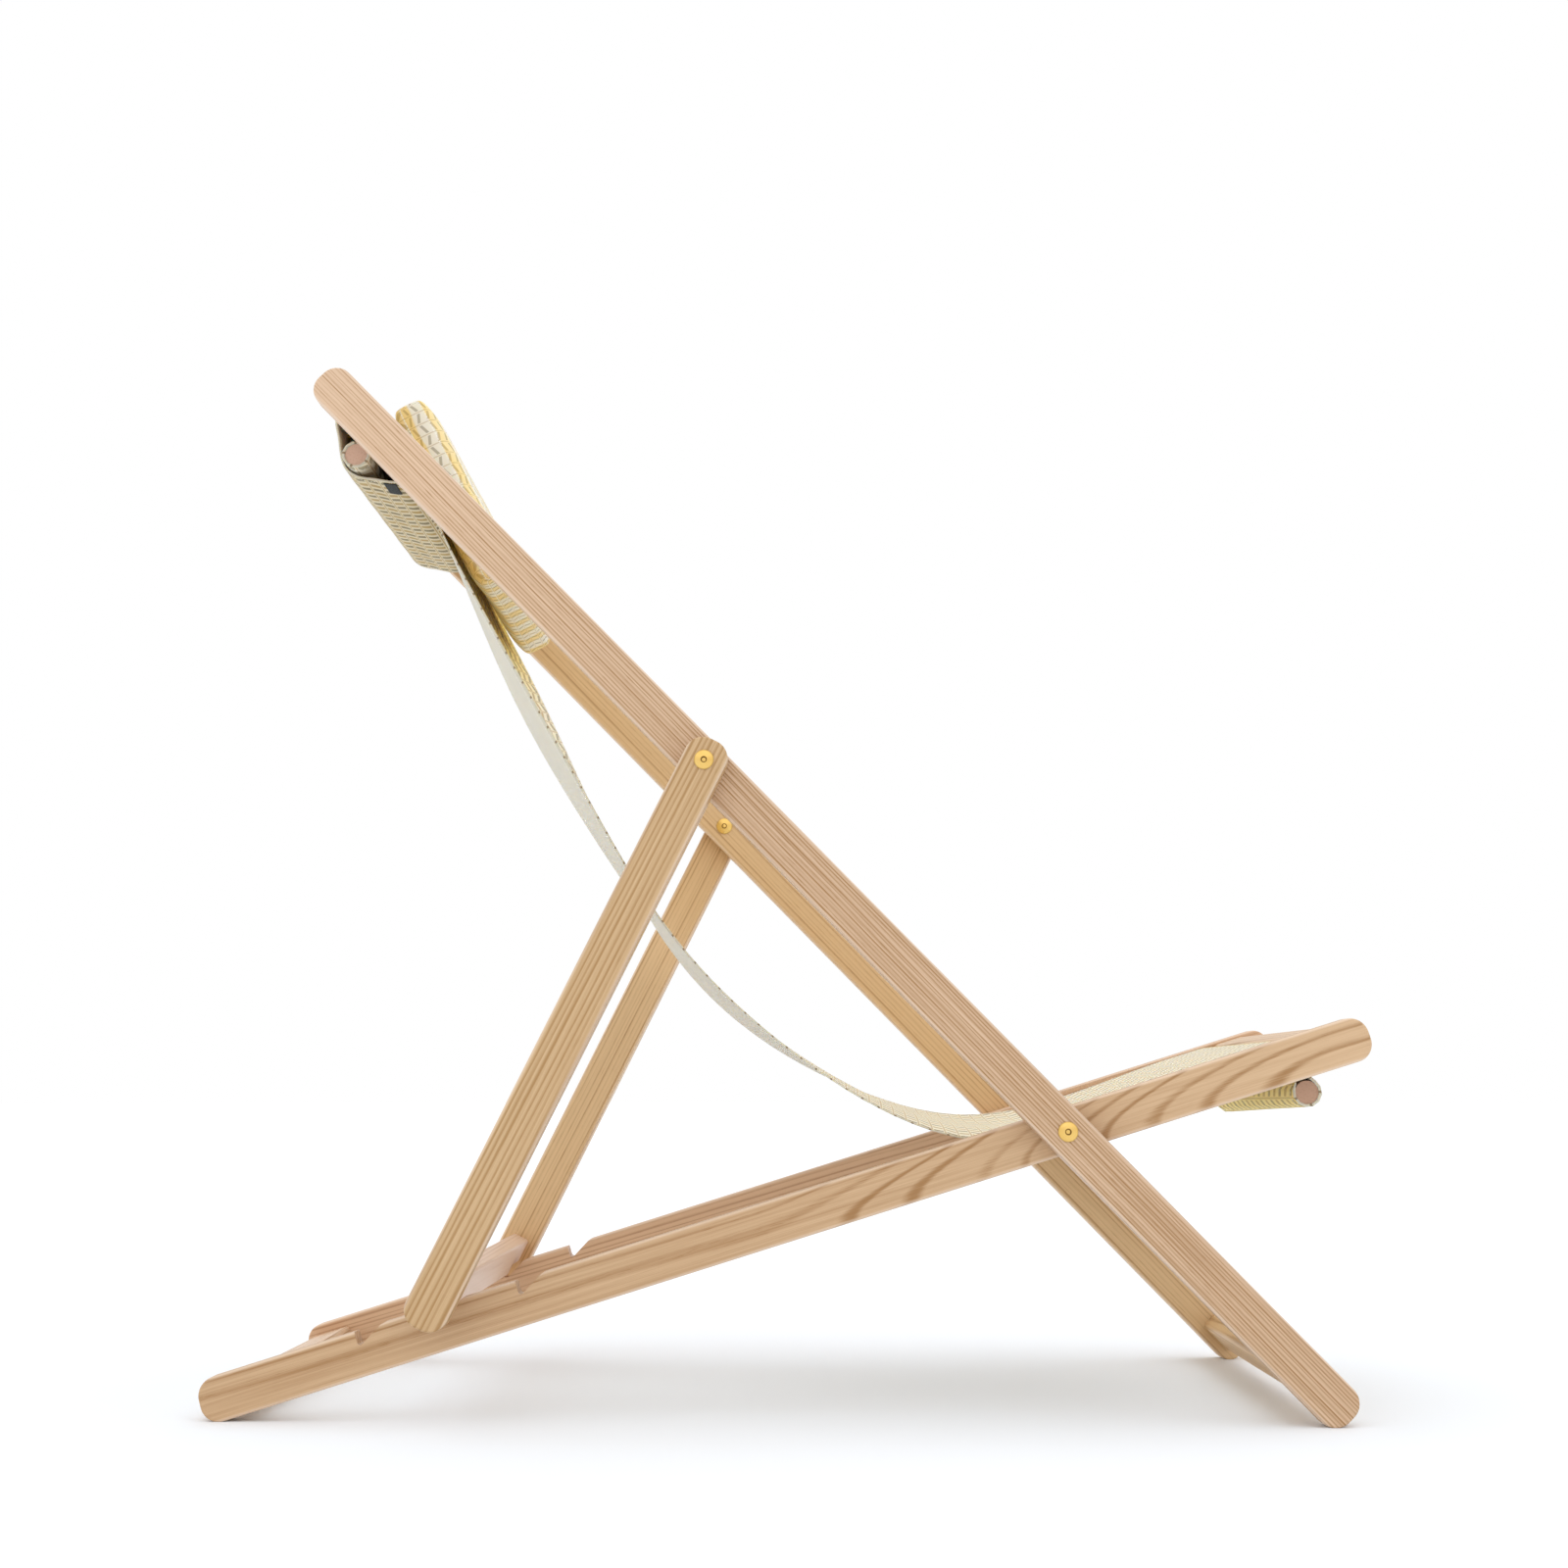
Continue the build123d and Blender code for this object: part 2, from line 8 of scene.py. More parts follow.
# %% Load the frame
import json
import math
import bpy
import numpy as np
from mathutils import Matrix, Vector


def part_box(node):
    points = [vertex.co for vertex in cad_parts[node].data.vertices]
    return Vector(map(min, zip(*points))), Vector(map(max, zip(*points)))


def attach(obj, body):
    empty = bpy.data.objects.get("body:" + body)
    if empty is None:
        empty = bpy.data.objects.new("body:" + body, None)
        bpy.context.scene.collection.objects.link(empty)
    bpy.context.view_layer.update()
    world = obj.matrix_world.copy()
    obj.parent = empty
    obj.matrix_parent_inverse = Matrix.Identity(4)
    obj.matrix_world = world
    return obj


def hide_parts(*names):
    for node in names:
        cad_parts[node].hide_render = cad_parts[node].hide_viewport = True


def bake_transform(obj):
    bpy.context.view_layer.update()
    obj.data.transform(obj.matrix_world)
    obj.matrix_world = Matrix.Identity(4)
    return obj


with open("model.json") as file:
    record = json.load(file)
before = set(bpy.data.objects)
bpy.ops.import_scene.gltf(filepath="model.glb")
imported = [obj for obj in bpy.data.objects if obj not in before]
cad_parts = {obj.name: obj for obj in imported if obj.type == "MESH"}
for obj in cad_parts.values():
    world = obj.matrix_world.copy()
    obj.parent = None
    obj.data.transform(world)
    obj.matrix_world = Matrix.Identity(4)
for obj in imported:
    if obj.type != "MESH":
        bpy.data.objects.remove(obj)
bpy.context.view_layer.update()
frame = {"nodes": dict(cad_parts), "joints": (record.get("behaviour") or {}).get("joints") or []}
nodes = frame["nodes"]

# %% [markdown]
# ## Camera
#
# A catalogue picture is taken from low down and close by, so the far frame looks smaller than the near one
# and the lens tips up a little. The place and tilt were found by fitting the edges of all the rails, and the
# picture needs no lens shift.

# %% Camera at the picture's angle
camera_lens_mm = 46.575
camera_place = (0.0147, -2.3286, 0.3302)
camera_turn = (math.radians(98.497), 0, math.radians(0.589))

bpy.ops.object.camera_add(location=camera_place, rotation=camera_turn)
camera = bpy.context.object
camera.data.lens = camera_lens_mm
bpy.context.scene.camera = camera
print("camera at", camera_place)

# %% [markdown]
# ## Stage and light
#
# The chair stands on a white floor in an evenly white room, as in a light tent. One broad lamp overhead
# makes the tops of the rails paler and leaves a wide, soft shadow. The floor is bright enough to come out
# as white as the room, which hides the horizon, and a little blue, because warm light from the wood falls
# in the shadow.

# %% White room, soft overhead lamp, pale floor
floor_radius = 40
floor_sides = 96
floor_below = 0.0002  # keeps the floor just under the feet
floor_colour = (0.890, 0.922, 0.965, 1)
room_light = 1.0
lamp_strength = 0.70
lamp_softness = math.radians(120)
lamp_tilt = math.radians(12)
lamp_height = 3

scene = bpy.context.scene
scene.view_settings.view_transform = "Standard"
room = bpy.data.worlds.new("white_room")
scene.world = room
room.use_nodes = True
room.node_tree.nodes["Background"].inputs["Color"].default_value = (1, 1, 1, 1)
room.node_tree.nodes["Background"].inputs["Strength"].default_value = room_light

bpy.ops.object.light_add(type="SUN", location=(0, 0, lamp_height), rotation=(lamp_tilt, 0, 0))
lamp = bpy.context.object
lamp.data.energy = lamp_strength
lamp.data.angle = lamp_softness

bpy.ops.mesh.primitive_circle_add(vertices=floor_sides, radius=floor_radius, fill_type="NGON",
                                  location=(0, 0, -floor_below))
floor = bpy.context.object
floor.name = "floor"
print("floor and one lamp")

# %% [markdown]
# ## Shader sums in plain Python
#
# A pattern such as wood grain is a sum over places on the surface. Wiring dozens of Math nodes by hand hides
# that sum, so one small class stands for a socket and lets Python's own signs add the nodes.

# %% A socket that can be used in sums
def linear(red, green, blue):
    """A colour picked from a picture, 0 to 255, as the linear colour that shaders use."""
    shares = [value / 255 for value in (red, green, blue)]
    return tuple(s / 12.92 if s <= 0.04045 else ((s + 0.055) / 1.055) ** 2.4 for s in shares) + (1.0,)


class Field:
    """A value that changes over a surface: one output socket of a material's nodes."""

    def __init__(self, tree, socket_shade):
        self.tree = tree
        self.socket_shade = socket_shade

    def node(self, kind, sockets, out=0, **settings):
        """Any node: its settings first, then the values or links of its sockets."""
        made = self.tree.nodes.new(kind)
        for name, value in settings.items():
            setattr(made, name, value)
        for key, value in sockets.items():
            if isinstance(value, Field):
                self.tree.links.new(value.socket_shade, made.inputs[key])
            else:
                made.inputs[key].default_value = value
        return Field(self.tree, made.outputs[out])

    def sum(self, operation, *values):
        return self.node("ShaderNodeMath", dict(enumerate(values)), operation=operation)

    def __add__(self, other):
        return self.sum("ADD", self, other)

    def __radd__(self, other):
        return self.sum("ADD", other, self)

    def __sub__(self, other):
        return self.sum("SUBTRACT", self, other)

    def __rsub__(self, other):
        return self.sum("SUBTRACT", other, self)

    def __mul__(self, other):
        return self.sum("MULTIPLY", self, other)

    def __rmul__(self, other):
        return self.sum("MULTIPLY", other, self)

    def __truediv__(self, other):
        return self.sum("DIVIDE", self, other)

    def __abs__(self):
        return self.sum("ABSOLUTE", self)

    def part(self):
        """What is left after the whole number."""
        return self.sum("FRACT", self)

    def whole(self):
        return self.sum("FLOOR", self)

    def root(self):
        return self.sum("SQRT", self)

    def zigzag(self):
        """1 at the whole numbers and 0 half way between them."""
        return abs(self.part() - 0.5) * 2

    def odd(self):
        """1 in every second unit and 0 in the others."""
        return (self.whole() * 0.5).part() * 2

    def step(self, low, high, first=0.0, last=1.0):
        """A soft step from first to last as the value goes from low to high."""
        return self.node("ShaderNodeMapRange", {"Value": self, "From Min": low, "From Max": high,
                                                "To Min": first, "To Max": last},
                         interpolation_type="SMOOTHSTEP")

    def along(self, direction):
        """This place measured along a direction."""
        return self.node("ShaderNodeVectorMath", {0: self, 1: tuple(direction)}, out=1,
                         operation="DOT_PRODUCT")

    def place(self, x, y, z):
        return self.node("ShaderNodeCombineXYZ", {"X": x, "Y": y, "Z": z})

    def noise(self, scale, detail=2.0, roughness=0.5):
        """Cloudy values about one half, read at this place."""
        return self.node("ShaderNodeTexNoise", {"Vector": self, "Scale": scale, "Detail": detail,
                                                "Roughness": roughness})

    def mix(self, first, last):
        """From one colour to another as this value goes from 0 to 1."""
        return self.node("ShaderNodeMix", {0: self, 6: first, 7: last}, out=2, data_type="RGBA")

    def times(self, first, last):
        """Two colours multiplied, this value being the share of the second."""
        return self.node("ShaderNodeMix", {0: self, 6: first, 7: last}, out=2, data_type="RGBA",
                         blend_type="MULTIPLY")


def new_material(name, place="Object", **constants):
    """A material, its shader with the given fixed values, and the place on the piece as a Field."""
    material = bpy.data.materials.new(name)
    material.use_nodes = True
    tree = material.node_tree
    shader = tree.nodes["Principled BSDF"]
    for key, value in constants.items():
        shader.inputs[key.replace("_", " ")].default_value = value
    coordinates = tree.nodes.new("ShaderNodeTexCoord")
    return material, shader, Field(tree, coordinates.outputs[place])


def drive(shader, name, field):
    field.tree.links.new(field.socket_shade, shader.inputs[name])


def drive_bump(shader, height, depth, strength):
    """Small relief, depth in metres."""
    bump = height.node("ShaderNodeBump", {"Height": height, "Strength": strength, "Distance": depth})
    drive(shader, "Normal", bump)


def dress(names, material):
    """Gives ready-made nodes their finish."""
    for name in names:
        slots = nodes[name].data.materials
        slots.clear()
        slots.append(material)


floor_material, floor_shader, _ = new_material("white_floor", Roughness=0.9, Specular_IOR_Level=0.0)
floor_shader.inputs["Base Color"].default_value = floor_colour
floor.data.materials.append(floor_material)
print("shader class ready")

# %% [markdown]
# ## Ash
#
# A board shows the tree's yearly rings cut open. If the rings are cylinders about a heart that lies beside
# the board, the wide face shows straight lines; if the heart lies behind the face and the trunk bends away,
# the same rings draw arches. So every board gets the same ring formula with its own heart, lean, bend and
# ring width, and the lines run round its edges and ends as in solid wood.

# %% Directions of the three frames
back_pivot = Vector(frame["joints"][0]["pos_m"])
strut_pivot = Vector(frame["joints"][1]["pos_m"])
seat_slope = math.radians(17.25)
strut_slope = math.radians(63.8)
back_slope = math.atan2(strut_pivot.z - back_pivot.z, back_pivot.x - strut_pivot.x)
seat_along = Vector((math.cos(seat_slope), 0, math.sin(seat_slope)))
back_along = Vector((-math.cos(back_slope), 0, math.sin(back_slope)))
strut_along = Vector((-math.cos(strut_slope), 0, -math.sin(strut_slope)))
sideways = Vector((0, 1, 0))
print("back rail slope", round(math.degrees(back_slope), 2))


# %% One ash board
# how far the tree's middle and its rings stray from true, in metres, and its growth, in years
drift_across, drift_through = 0.007, 0.004
ring_wander = 0.0011
growth_stray = 1.5
# a year's dark line: full after this share of the year, and pale again past the board's own share
line_full, line_fades, line_past = 0.16, 0.18, 0.10
# how deep each part of the figure is, as a share of the way from the pale colour to the dark one
line_depth, line_change = 0.16, 0.36
fibre_depth, streak_depth = 0.46, 0.50
pore_depth, pore_in_line = 0.06, 0.26
least_tone = 0.15
# places along a board, from its middle, between which it bends and its shade fades
bend_from, bend_to = -0.05, 0.60
fade_from, fade_to = 0.15, 0.70
# where the painted highlight on a rounded edge starts and is brightest, in from the board's sides and faces
highlight_sides, highlight_faces = (0.0036, 0.0008), (0.0050, 0.0012)
highlight_share, warm_share = 0.42, 0.20
highlight_ash, warm_ash = linear(240, 220, 200), linear(228, 196, 164)


def ash(name, middle, along, heart, lean, sway, ring, lines, wood, shade=0.0, fade=0.0, bend=0.0,
        highlight_halves=None):
    """Ash running along a direction. heart is the tree's middle, across and through the board, in metres.

    lean and sway tip the tree's middle against the board, and bend is how far it bends away towards the
    board's end. ring is a year's growth, and lines is the share of each year that is dark, open-pored wood.
    wood is the pale and the dark colour. shade darkens the board, and fade takes that away again towards its
    end, or adds to it where it is below 0. The last argument is half the board's width and thickness where
    its edges are rounded, and there the edges get a painted highlight.
    """
    material, shader, place = new_material(name, Specular_IOR_Level=0.5)
    through = sideways if abs(along.y) < 0.5 else Vector((0, 0, 1))
    across = through.cross(along).normalized()
    a = place.along(along) - middle.dot(along)
    c = place.along(across) - middle.dot(across)
    t = place.along(through) - middle.dot(through)

    def figure(per_metre_along, per_metre_across, detail):
        """Cloudy values drawn out along the board."""
        drawn = place.place(a * per_metre_along, c * per_metre_across, t * per_metre_across)
        return drawn.noise(1.0, detail)

    drift = figure(1.7, 5, 1.0) - 0.5
    wander = figure(8, 24, 2.0) - 0.5
    from_heart_c = c - heart[0] - a * sway + drift * drift_across
    from_heart_t = t - heart[1] + drift * drift_through
    radius = (from_heart_c * from_heart_c + from_heart_t * from_heart_t).root()
    even_years = (radius + a * lean - a.step(bend_from, bend_to) * bend + wander * ring_wander) / ring
    growth = place.place(even_years * 0.42, 0.0, 0.0).noise(1.0, 1.0) - 0.5
    years = even_years + growth * growth_stray
    season = years.part()
    year = years.whole()
    year_tone = place.place(year * 0.37, year * 0.71, 0.0).noise(3.0, 0.0).step(0.30, 0.68)
    early = season.step(0.0, line_full) * season.step(line_fades, lines + line_past, 1.0, 0.0)
    fibre = figure(9, 900, 2.0)
    streak = figure(3, 240, 2.0)
    pores = figure(55, 1500, 1.0).step(0.60, 0.72)
    tone = (early * (line_depth + year_tone * line_change)
            + (fibre - 0.5) * fibre_depth + (streak - 0.5) * streak_depth
            + pores * (pore_depth + early * pore_in_line) + shade - a.step(fade_from, fade_to) * fade)
    cloud = figure(2.2, 9, 2.0)
    colour = (tone + least_tone).step(0.0, 1.0).mix(*wood)
    warm = (cloud - 0.5) * 1.2 + 0.5
    colour = (warm * warm_share).times(colour, warm_ash)
    # painted highlight: the rounded edges of the rails are painted paler
    if highlight_halves:
        at_side, at_face = [[half - inset for inset in insets]
                            for half, insets in zip(highlight_halves, (highlight_sides, highlight_faces))]
        edge = abs(c).step(*at_side) * abs(t).step(*at_face)
        colour = (edge * highlight_share).mix(colour, highlight_ash)
    drive(shader, "Base Color", colour)
    drive(shader, "Roughness", 0.40 + tone * 0.12 + (cloud - 0.5) * 0.08)
    drive_bump(shader, 1.0 - tone, depth=0.00012, strength=0.35)
    return material


def middle_of(name):
    low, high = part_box(name)
    return (low + high) / 2


print("ash ready")

# %% Every board from its own tree
rail_half = (0.0225, 0.0125)  # half the rails' width and thickness
pale_ash = linear(215, 183, 145), linear(160, 118, 70)
pink_ash = linear(224, 194, 164), linear(156, 114, 62)
straw_ash = linear(213, 182, 140), linear(170, 132, 82)
gold_ash = linear(221, 187, 140), linear(170, 128, 78)
brown_ash = linear(212, 174, 138), linear(172, 128, 90)
rose_ash = linear(229, 199, 176), linear(206, 168, 142)

rails = {
    "seat_rail_right": dict(along=seat_along, heart=(0.020, 0.040), lean=0.004, sway=0.004, ring=0.0076,
                            lines=0.34, wood=pale_ash, shade=0.26, fade=0.24, bend=0.072),
    "seat_rail_left": dict(along=seat_along, heart=(0.060, 0.012), lean=0.004, sway=0.010, ring=0.0052,
                           lines=0.45, wood=brown_ash),
    "back_rail_right": dict(along=back_along, heart=(0.190, 0.030), lean=0.0015, sway=0.004, ring=0.0034,
                            lines=0.62, wood=pink_ash, shade=0.24, fade=0.24),
    "back_rail_left": dict(along=back_along, heart=(0.120, -0.035), lean=0.003, sway=0.006, ring=0.0050,
                           lines=0.50, wood=gold_ash),
    "strut_right": dict(along=strut_along, heart=(-0.085, 0.036), lean=0.006, sway=0.020, ring=0.0056,
                        lines=0.60, wood=straw_ash, shade=0.22, fade=-0.20),
    "strut_left": dict(along=strut_along, heart=(0.110, 0.025), lean=0.003, sway=0.008, ring=0.0044,
                       lines=0.50, wood=gold_ash),
}
crossbars = {
    "seat_rear_crossbar": dict(heart=(0.050, 0.030), lean=0.006, sway=0.010, ring=0.0044, lines=0.50,
                               wood=pink_ash),
    "seat_sling_crossbar": dict(heart=(0.060, 0.020), lean=0.005, sway=0.010, ring=0.0046, lines=0.45,
                                wood=pale_ash),
    "seat_front_crossbar": dict(heart=(0.070, 0.030), lean=0.004, sway=0.010, ring=0.0048, lines=0.45,
                                wood=pale_ash),
    "back_top_crossbar": dict(heart=(0.055, 0.025), lean=0.006, sway=0.010, ring=0.0044, lines=0.50,
                              wood=pink_ash),
    "back_sling_crossbar": dict(heart=(0.065, -0.020), lean=0.005, sway=0.010, ring=0.0050, lines=0.45,
                                wood=pale_ash),
    "back_foot_crossbar": dict(heart=(0.050, 0.035), lean=0.004, sway=0.010, ring=0.0044, lines=0.50,
                               wood=gold_ash),
    "strut_crossbar": dict(heart=(0.080, 0.030), lean=0.003, sway=0.006, ring=0.0040, lines=0.45,
                           wood=rose_ash),
}
for name, tree in rails.items():
    dress([name], ash("ash_" + name, middle_of(name), highlight_halves=rail_half, **tree))
for name, tree in crossbars.items():
    dress([name], ash("ash_" + name, middle_of(name), along=sideways, **tree))
print(len(rails) + len(crossbars), "boards of ash")

# %% [markdown]
# ## Rods and dowels
#
# The rods are turned from a closer wood: pinkish, with short darker flecks and faint rings on the sawn ends.


# %% Turned beech
beech_rings = 900  # to a metre
flecks_across, flecks_along = 700, 60  # to a metre


def beech(name, middle, pale, dark):
    material, shader, place = new_material(name, Specular_IOR_Level=0.3)
    x = place.along((1, 0, 0)) - middle.x
    y = place.along((0, 1, 0))
    z = place.along((0, 0, 1)) - middle.z
    rings = ((x * x + z * z).root() * beech_rings + place.noise(40.0) * 2.0).part()
    flecks = place.place(x * flecks_across, y * flecks_along, z * flecks_across).noise(1.0, 1.0)
    tone = rings.step(0.2, 0.9) * 0.25 + flecks.step(0.56, 0.72) * 0.4
    drive(shader, "Base Color", tone.mix(pale, dark))
    drive(shader, "Roughness", 0.6 + tone * 0.15)
    drive_bump(shader, 1.0 - tone, depth=0.0001, strength=0.3)
    return material


pale_beech = linear(212, 178, 156), linear(180, 138, 114)
brown_beech = linear(188, 152, 128), linear(158, 120, 96)
dress(["front_sling_rod"], beech("beech_front_rod", middle_of("front_sling_rod"), *brown_beech))
dress(["top_sling_rod"], beech("beech_top_rod", middle_of("top_sling_rod"), *pale_beech))
dress(["seat_dowels", "back_dowels", "strut_dowels"], beech("beech_dowels", Vector((0, 0, 0)), *pale_beech))
print("rods and dowels in beech")

# %% [markdown]
# ## Brass and nylon
#
# The bolt heads are turned and lightly polished. Turning leaves fine rings round the bolt's axis, and painted
# shade darkens the key's socket and the head under its rim, both painted by the distance from that axis. The
# washers between the frames are plain matt nylon.


# %% Polished brass, matt nylon
turning_pitch = 0.0007
# painted shade, by the distance from the axis: a soft ring in the key's socket, and outwards from under the
# rim
socket_shade_inside, socket_shade_outside = (0.0018, 0.0023), (0.0031, 0.0036)
rim_shade_from = (0.0086, 0.0098)


def brass(name, axis):
    """Turned brass about an axis along Y."""
    material, shader, place = new_material(name, Metallic=1.0)
    x = place.along((1, 0, 0)) - axis.x
    z = place.along((0, 0, 1)) - axis.z
    radius = (x * x + z * z).root()
    haze = place.noise(90.0, 3.0)
    scratches = place.noise(1800.0, 2.0)
    turning = (radius / turning_pitch).zigzag()
    socket_shade = radius.step(*socket_shade_inside) * radius.step(*socket_shade_outside, 1.0, 0.0)
    rim_shade = radius.step(*rim_shade_from)
    colour = (haze * 0.8 + turning * 0.2).mix(linear(244, 208, 128), linear(228, 182, 96))
    # painted shade in the key's socket and under the rim
    colour = (socket_shade * 0.85 + rim_shade * 0.35).mix(colour, linear(112, 78, 30))
    drive(shader, "Base Color", colour)
    drive(shader, "Roughness", 0.20 + haze * 0.10 + scratches * 0.08 + socket_shade * 0.3)
    drive_bump(shader, scratches + turning * 0.5, depth=0.00003, strength=0.3)
    return material


def nylon():
    material, shader, place = new_material("matt_nylon")
    grain = place.noise(600.0, 2.0)
    drive(shader, "Base Color", grain.mix(linear(232, 228, 214), linear(214, 208, 192)))
    drive(shader, "Roughness", 0.55 + grain * 0.2)
    drive_bump(shader, grain, depth=0.00005, strength=0.2)
    return material


dress(["back_pivot_bolts", "back_pivot_nuts"], brass("brass_back_pivot", back_pivot))
dress(["strut_pivot_bolts", "strut_pivot_nuts"], brass("brass_strut_pivot", strut_pivot))
dress(["back_pivot_washers", "strut_pivot_washers"], nylon())
print("fastenings in brass, washers in nylon")

# %% [markdown]
# ## Canvas
#
# The sling is a plain-woven canvas, printed on its face and bare on its reverse. Every soft piece carries
# its own UV map in metres, so the weave and the print keep their real size wherever the cloth goes. The
# print is a simple one: rows of short strokes that lean left and right in turn, a fine gold line between
# the rows, and on the pillow soft gold stripes as well. Behind the pillow the sling is painted a deeper gold,
# a painted glow of the light that shines through the cloth into the shaded gap there, and on the front
# sleeve it is a deeper gold as well. Small tacks of dark thread show along the edges of its bare side.


# %% Weave, print and stitches
weave_pitch = 0.0011
stroke_row = 0.0138
large_stroke_pitch, small_stroke_pitch = 0.0250, 0.0155
stroke_lean = 0.45  # as a share of the pitch, from one side of the row to the other
stroke_end = (0.35, 0.40)  # as shares of the row, from its middle
print_soft = 0.03
stripe_pitch = 0.046
stripe_edge = (0.40, 0.62)
stripe_ripple = 0.35
stitch_pitch = 0.0036
stitch_start, stitch_end = (0.08, 0.22), (0.72, 0.86)  # as shares of the pitch
groove_half = (0.0005, 0.0010)
tack_pitch = 0.0186
tack_half = (0.055, 0.085)  # as shares of the pitch
tack_reach = (0.0022, 0.0032)  # in from the edge
cream, cream_shade = linear(246, 241, 226), linear(228, 221, 200)
face_cream, wrap_cream = linear(244, 234, 206), linear(198, 174, 122)
reverse_cream = linear(190, 186, 170)
# the deeper gold is the front sleeve's colour, and the painted glow behind the pillow
gold, glow_and_sleeve_gold = linear(243, 212, 128), linear(250, 218, 80)
olive, bright_gold = linear(120, 103, 56), linear(170, 136, 58)
white_thread, dark_thread = linear(252, 249, 238), linear(128, 104, 70)


def weave_height(u, v):
    """Over and under of a plain weave, from 0 to 1."""
    warp_place, weft_place = u / weave_pitch, v / weave_pitch
    over = (warp_place.whole() + weft_place.whole()).odd()
    return 1 - (over * warp_place.zigzag() + (1 - over) * weft_place.zigzag())


def stitches(edge, run, inset):
    """A row of stitches at a distance from an edge: the thread itself, and the groove it pulls in."""
    groove = abs(edge - inset).step(*groove_half, 1.0, 0.0)
    beat = (run / stitch_pitch).part()
    return groove * beat.step(*stitch_start) * beat.step(*stitch_end, 1.0, 0.0), groove


def canvas(name, stroke_pitch=None, ground=cream, hems=(), stitch_inset=0.012, stroke_share=0.42,
           ink_share=0.7, row_line=0.44, striped=False, gold_runs=()):
    """Canvas, printed where it has a pitch for its strokes, with stitches beside its hems.

    hems are (axis, place) pairs. stroke_share is how much of the pitch is inked, and ink_share how deep the
    ink is. The line between two rows starts at the share row_line of a row from its middle. gold_runs are
    lengths coloured a deeper gold, each with a soft start and end, and how deep it is; the sling's run behind
    the pillow is a painted glow. Some light comes through the cloth.
    """
    printed = stroke_pitch is not None
    material, shader, place = new_material(name, place="UV", Sheen_Weight=0.25, Specular_IOR_Level=0.2,
                                           Subsurface_Weight=0.4, Subsurface_Scale=0.004,
                                           Subsurface_Radius=(1.0, 0.8, 0.45))
    u = place.along((1, 0, 0))
    v = place.along((0, 1, 0))
    weave = weave_height(u, v)
    cloud = place.noise(14.0, 3.0)
    colour = (0.45 * cloud + (1 - weave) * 0.35).mix(ground, cream_shade)
    if striped:
        ripple = (place.noise(22.0, 2.0) - 0.5) * stripe_ripple
        stripe = (u / stripe_pitch + ripple).zigzag()
        colour = (stripe.step(*stripe_edge) * (0.55 + cloud * 0.5)).mix(colour, gold)
    for first, full, last, end, depth in gold_runs:
        # deeper gold runs: behind the pillow a painted glow of light through the cloth, on the sleeve a
        # deeper gold
        colour = (v.step(first, full) * v.step(last, end, 1.0, 0.0) * depth).mix(colour, glow_and_sleeve_gold)
    if printed:
        row = v / stroke_row
        slant = row.odd() * 2 - 1
        in_row = row.part() - 0.5
        stroke_place = u / stroke_pitch + slant * in_row * stroke_lean
        stroke = abs(stroke_place.part() - 0.5)
        inked = stroke.step(stroke_share / 2 - print_soft, stroke_share / 2 + print_soft, 1.0, 0.0)
        ink = inked * abs(in_row).step(*stroke_end, 1.0, 0.0)
        ink_colour = stroke_place.odd().mix(olive, bright_gold)
        colour = (ink * (ink_share + weave * 0.25)).mix(colour, ink_colour)
        colour = (abs(in_row).step(row_line, row_line + print_soft) * ink_share).mix(colour, bright_gold)
    height = weave * 0.6 + cloud * 0.2
    for axis, edge_place in hems:
        across, run = (u, v) if axis == "u" else (v, u)
        thread, groove = stitches(abs(across - edge_place), run, stitch_inset)
        colour = (thread * 0.7).mix(colour, white_thread)
        height = height + thread * 1.2 - groove * 0.5
        if not printed:
            tack = (abs((run / tack_pitch).part() - 0.5).step(*tack_half, 1.0, 0.0)
                    * abs(across - edge_place).step(*tack_reach, 1.0, 0.0))
            colour = (tack * 0.8).mix(colour, dark_thread)
    drive(shader, "Base Color", colour)
    drive(shader, "Roughness", 0.82 + (1 - weave) * 0.12)
    drive_bump(shader, height, depth=0.0004, strength=0.5)
    return material


print("canvas ready")

# %% [markdown]
# ## The sling
#
# The sling is one strip of canvas. Seen from the side it is a line: a sewn loop round the top rod, through
# the slot between the two top bars, down in a free curve to the seat, over the bar behind the front slot,
# down through that slot and round the front rod. A flat grid is laid along that line, each row at its own
# length.

# %% Sizes of the strip and where it runs, in metres
sling_width = 0.420
cloth = 0.0016
loop_cloth = 0.0030  # folded double round the rods
front_slot, top_slot = 0.254, 1.041  # from the back pivot, along the seat and along the back
slot_half = 0.005
bar_width = 0.043
front_rod_drop, top_rod_back = 0.038, 0.030
rod_radius = 0.012
rod_gap = 0.0003
loop_radius = rod_radius + rod_gap + loop_cloth / 2
ply_gap = 0.0002  # half the gap between the two plies in a slot
bar_lead = 0.001  # the hanging cloth starts this far on to its bar
board_front = -0.0063  # cloth over the top bars, before the back rail's middle line
board_top = 0.0193  # cloth over the seat bars, above the seat rail's middle line
# across each frame from its middle line: the loop's neck, the slot's end and the hem's edge
neck = 0.0145
top_slot_end, top_hem_edge = 0.012, 0.004
front_slot_end, front_hem_edge = -0.0135, 0.002
# the turn from each slot on to its bar: steps along the frame from the slot's ply, and places across it
top_turn = [(0, top_slot_end), (0, -0.001), (-0.001, -0.0042), (-0.004, board_front)]
front_turn = [(-0.005, board_top), (-0.0015, board_top - 0.0015), (0, board_top - 0.006), (0, front_slot_end)]
sling_top_slope = math.radians(66)
# the hanging cloth: place on the straight line from bar to bar and drop below it, as shares of that line
sling_hang = [(0.085, 0.051), (0.344, 0.1775), (0.5065, 0.237), (0.705, 0.2437), (0.849, 0.1954)]


